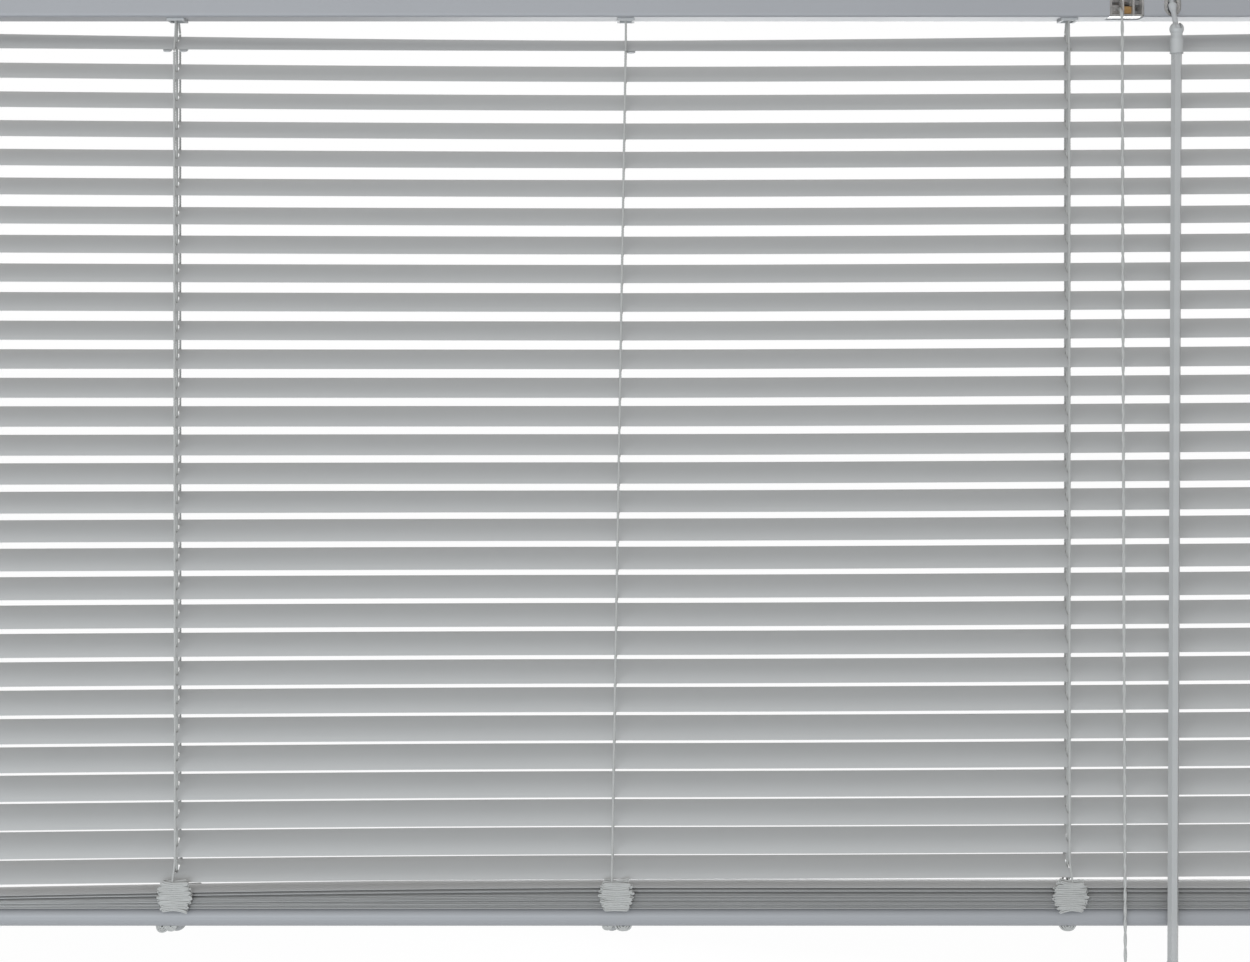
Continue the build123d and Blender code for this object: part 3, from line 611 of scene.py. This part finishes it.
end_shape(yarn_shape, strands, yarn["Yarn"])


def routes(name, lines, smooth=False):
    """A curve with one spline for each route, its corners rounded if it is smooth."""
    curve = bpy.data.curves.new(name + ".route", "CURVE")
    curve.dimensions = "3D"
    for points in lines:
        spline = curve.splines.new("NURBS" if smooth else "POLY")
        spline.points.add(len(points) - 1)
        for point, (px, py, pz) in zip(spline.points, points):
            point.co = (px * mm, py * mm, pz * mm, 1)
        if smooth:
            spline.order_u = 3
            spline.use_endpoint_u = True
            spline.resolution_u = 12
    return curve


ladder_lines = {
    "front_strings": ((-336.1, -335.4), (2.534, -7.711), (335.05, 335.3)),
    "back_strings": ((-338.6, -338.4), (2.534, -7.711), (338.75, 338.8)),
}
string_sides = {"front_strings": (-12.75, -52.759, -658.759), "back_strings": (14.3, -35.648, -641.648)}
for name, (depth, high, low) in string_sides.items():
    lines = [((top, depth, high), (bottom, depth, low)) for top, bottom in ladder_lines[name]]
    stout = {"Strand": 0.54 * mm, "Spread": 0.46 * mm} if name == "front_strings" else {}
    for part, chosen, values in (("outer", lines[::2], stout), ("middle", lines[1:2], {})):
        piece = grow(yarn_shape, f"{name}_{part}", values, routes(name, chosen))
        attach(piece, name)
        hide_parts(name)

# Rungs
# Thin cords woven between the front and the back string under each slat, with a pair of them where a lift
# cord passes, one on each side of it.
ladder_fall = 621.1
middle_top = 4.1
middle_drift = 10.5
rung_gap = 1.8
rung_under = -1.8
rung_reach = 16.2
last_rung_reach = 14
lift_lean = -0.4
thin = {"Strands": 2, "Strand": 0.3 * mm, "Spread": 0.25 * mm, "Pitch": 4 * mm, "Steps": 5}
for number in range(1, hanging_count + 1):
    name = f"slat_{number:02d}"
    values = hang_of(number)
    reach = last_rung_reach if number == hanging_count else rung_reach
    down = (first_level - values["Level"] / mm) / ladder_fall
    lifts = [x + lift_lean * (1 - down) for x in (-ladder_place, ladder_place)]
    pairs = [(x - rung_gap, x + rung_gap) for x in lifts]
    lines = []
    for ladder, inners in enumerate((pairs[0], (middle_top - middle_drift * down,), pairs[1])):
        front, back = [
            high + (low - high) * down
            for high, low in (ladder_lines[side][ladder] for side in string_sides)
        ]
        for inner in inners:
            across = ((front, -reach), (inner, -9), (inner, 6), (back, reach))
            lines.append([(px, py, rung_under) for px, py in across])
    rungs = routes(name + "_rungs", lines, True)
    sine, cosine = math.sin(values["Tilt"]), math.cos(values["Tilt"])
    for spline in rungs.splines:
        for point in spline.points:
            py, pz = point.co.y, point.co.z
            bow = (abs(point.co.x) / slat_half) ** bow_power
            sag = (values["Sag left"] if point.co.x < 0 else values["Sag right"]) * bow
            point.co.y = py * cosine - pz * sine
            point.co.z = py * sine + pz * cosine + values["Level"] + sag
    piece = grow(yarn_shape, name + "_rungs", thin, rungs)
    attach(piece, name)

# Ladder tails
# The same string, clamped in the drums above and led out through the snouts to the first slat. Below, it runs
# from the last slats into the gathered loops.
tail_runs = {
    "upper_tails_front": ((-4.55, -13.95), (-3.0, -28.8), (-12.75, -51.809)),
    "upper_tails_back": ((4.55, -13.95), (3.0, -28.8), (14.3, -34.698)),
}
for name, run in tail_runs.items():
    side = name.split("_")[2] + "_strings"
    lines = []
    for x, (foot, _) in zip((-ladder_place, 2.52, ladder_place), ladder_lines[side]):
        lines.append([(foot if n == 2 else x, depth, level) for n, (depth, level) in enumerate(run)])
    piece = grow(yarn_shape, name, {}, routes(name, lines, True))
    start, end = [Vector((0, depth * mm, level * mm)) for depth, level in run[1:]]
    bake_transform(piece)
    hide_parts("ladder_tails_upper")
tail_runs = {
    "lower_tails_front": ((-12.75, -659.059), (-15.5, -675.5)),
    "lower_tails_back": ((14.3, -641.948), (15.5, -686.5)),
}
for name, run in tail_runs.items():
    side = name.split("_")[2] + "_strings"
    lines = []
    for x, (_, head) in zip((-ladder_place, -8, ladder_place), ladder_lines[side]):
        lines.append([(x if n else head, depth, level) for n, (depth, level) in enumerate(run)])
    piece = grow(yarn_shape, name, {}, routes(name, lines))
    start, end = [Vector((0, depth * mm, level * mm)) for depth, level in reversed(run)]
    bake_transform(piece)
    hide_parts("ladder_tails_lower")

# Gathered loops
# Ladder string that the stacked slats have left slack. It has buckled into hairpins that lie to the left and
# the right, in front of the stack and behind it. One loop has slipped down behind the rail.
chance = random.Random(11)
pile_top = -674.4
pile_rows = 14
row_drop = 1.42
layer_drop = 0.47
layer_depth = 1.3
pile_depth = 14
narrow = 8.2
widening = 4.2
fold = 1.2
hairpins = []
for x in (-335, -4.6, 335.4):
    for side, layers, first_row in ((-1, 3, 0), (1, 2, 8)):
        for layer in range(layers):
            depth = side * (pile_depth + layer_depth * layer)
            for row in range(first_row, pile_rows):
                level = pile_top - row_drop * row - layer_drop * layer
                bulge = narrow + widening * math.sin(math.pi * (row + 1) / (pile_rows + 1))
                for end in (-1, 1):
                    reach = bulge * chance.uniform(0.84, 1.1) * end
                    slope = 0.22 * (6.5 - row) + chance.uniform(-1.2, 1.2)
                    sway = chance.uniform(-0.4, 0.4)
                    hairpins.append(
                        (
                            (x - end, depth, level),
                            (x + 0.55 * reach, depth + sway, level + 0.3 * slope),
                            (x + reach, depth + sway, level + slope),
                            (x + reach, depth - sway, level + slope - 1.3),
                            (x + 0.55 * reach, depth - sway, level + 0.3 * slope - fold),
                            (x - end, depth, level - fold),
                        )
                    )
hairpins.append(
    (
        (-330, 15.6, -692),
        (-329.9, 15.8, -705),
        (-329.4, 15.8, -714),
        (-327.6, 15.8, -714),
        (-327.2, 15.8, -705),
        (-327.4, 15.6, -692),
    )
)
pile_piece = grow(
    yarn_shape,
    "gathered_ladder_loops",
    {"Strands": 1, "Strand": 0.64 * mm, "Spread": 0.0, "Pitch": 10 * mm},
    routes("gathered_ladders", hairpins, True),
)
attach(pile_piece, "headrail")
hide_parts("gathered_ladders")

# Lift cords
# Twisted cord knotted in the plugs under the bottom rail. It goes up through the slots of the slats, round
# into the headrail and along to the lock.
lift_lines = []
lane_depth = 6.5
lock_end = 365.7
for side, lane in ((-1, -7.5), (1, -10.0)):
    x = ladder_place * side
    inner = 340 * side
    turn_end = inner + 5
    lift_lines.append(
        (
            (x, 0, -705.6),
            (x, 0, -690),
            (x - 0.4, 0, -670),
            (x, 0, -640),
            (x + 0.5 * lift_lean, 0, -330),
            (x + lift_lean, 0, -34),
            (x + lift_lean, 0, -28.8),
            (inner, lane_depth, -16.5),
            (inner, lane_depth, lane),
            (turn_end, lane_depth, lane),
            (lock_end, lane_depth, lane),
        )
    )
braid = {"Strand": 0.62 * mm, "Spread": 0.4 * mm, "Steps": 6}
lift_piece = grow(yarn_shape, "lift_cords_yarn", braid, routes("lift_cords", lift_lines, True))
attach(lift_piece, "headrail")
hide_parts("lift_cords")

# Pull cord and tassel
# The two lift cords come out of the lock together and twist round each other. They are knotted inside a
# moulded tassel.
pull_route = (
    (373.6, -4.9, -19.6),
    (373.6, -10.5, -19.6),
    (373.6, -14.9, -23.1),
    (373.7, -16.4, -29.7),
    (373.75, -16.4, -45),
    (374.7, -16.4, -420),
    (376.2, -16.4, -771.3),
)
pull_curve = routes("pull_cord", [pull_route], True)
pull_line = bpy.data.objects.new("pull_cord.line", pull_curve)
collection.objects.link(pull_line)
pull_points = [v.co.copy() for v in bpy.data.meshes.new_from_object(pull_line).vertices]
bpy.data.objects.remove(pull_line)
pull_twist = {"Strands": 2, "Strand": 0.82 * mm, "Spread": 0.44 * mm, "Pitch": 22 * mm, "Steps": 14}
pull_piece = grow(yarn_shape, "pull_cord_yarn", pull_twist, pull_curve)
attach(pull_piece, "headrail")
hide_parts("pull_cord")
tassel_plastic = finish("tassel_plastic", (0.44, 0.44, 0.44), spread=0.04, grain=60, roughness=0.4, bump=0.06)
dress("tassel", tassel_plastic)

# Bottom rail
# A closed oval tube of thin enamelled steel with a moulded cap pressed into each end. A domed plug sits under
# each ladder.
# Painted shade: the rail has the same enamel as the slats, but its colour is set darker to stand in for the
# shade on it.
rail_enamel = finish("rail_enamel", (0.27, 0.27, 0.279), spread=0.03, grain=9, roughness=0.45, bump=0.05)
dress("bottom_rail", rail_enamel)
dress("rail_end_caps", end_cap_plastic)
plug_plastic = finish("plug_plastic", (0.3, 0.3, 0.3), spread=0.06, grain=60, roughness=0.5, bump=0.1)
dress("cord_plugs", plug_plastic)

# Ladder ends under the bottom rail
# Each ladder ends in slack loops of the same string. They are tucked under the rail beside its plug, which
# holds them.
rail_under = -707.4
loop_base = -708.6
loop_places = ((-346, 4.2, 4.6), (-339.5, 4, 3.6), (-11.5, 3.6, 2.8), (0.6, 6, 3.4), (334.6, 5.6, 3.4))
end_loops = []
for x, reach, drop in loop_places:
    for layer in range(5):
        depth = -9.5 + 1.4 * layer
        for shrink_share in (1, 0.68, 0.36):
            span = reach * shrink_share
            low = loop_base - drop * shrink_share - 0.35 * (layer % 2)
            shoulder = 0.6 * low + 0.4 * rail_under
            end_loops.append(
                (
                    (x - span, depth, rail_under),
                    (x - span, depth, shoulder),
                    (x - 0.5 * span, depth, low - 0.6),
                    (x + 0.5 * span, depth, low - 0.6),
                    (x + span, depth, shoulder),
                    (x + span, depth, rail_under),
                )
            )
loops_piece = grow(
    yarn_shape,
    "ladder_end_loops",
    {"Strands": 1, "Strand": 0.75 * mm, "Spread": 0.0, "Pitch": 6 * mm},
    routes("ladder_end_loops", end_loops, True),
)
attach(loops_piece, "headrail")
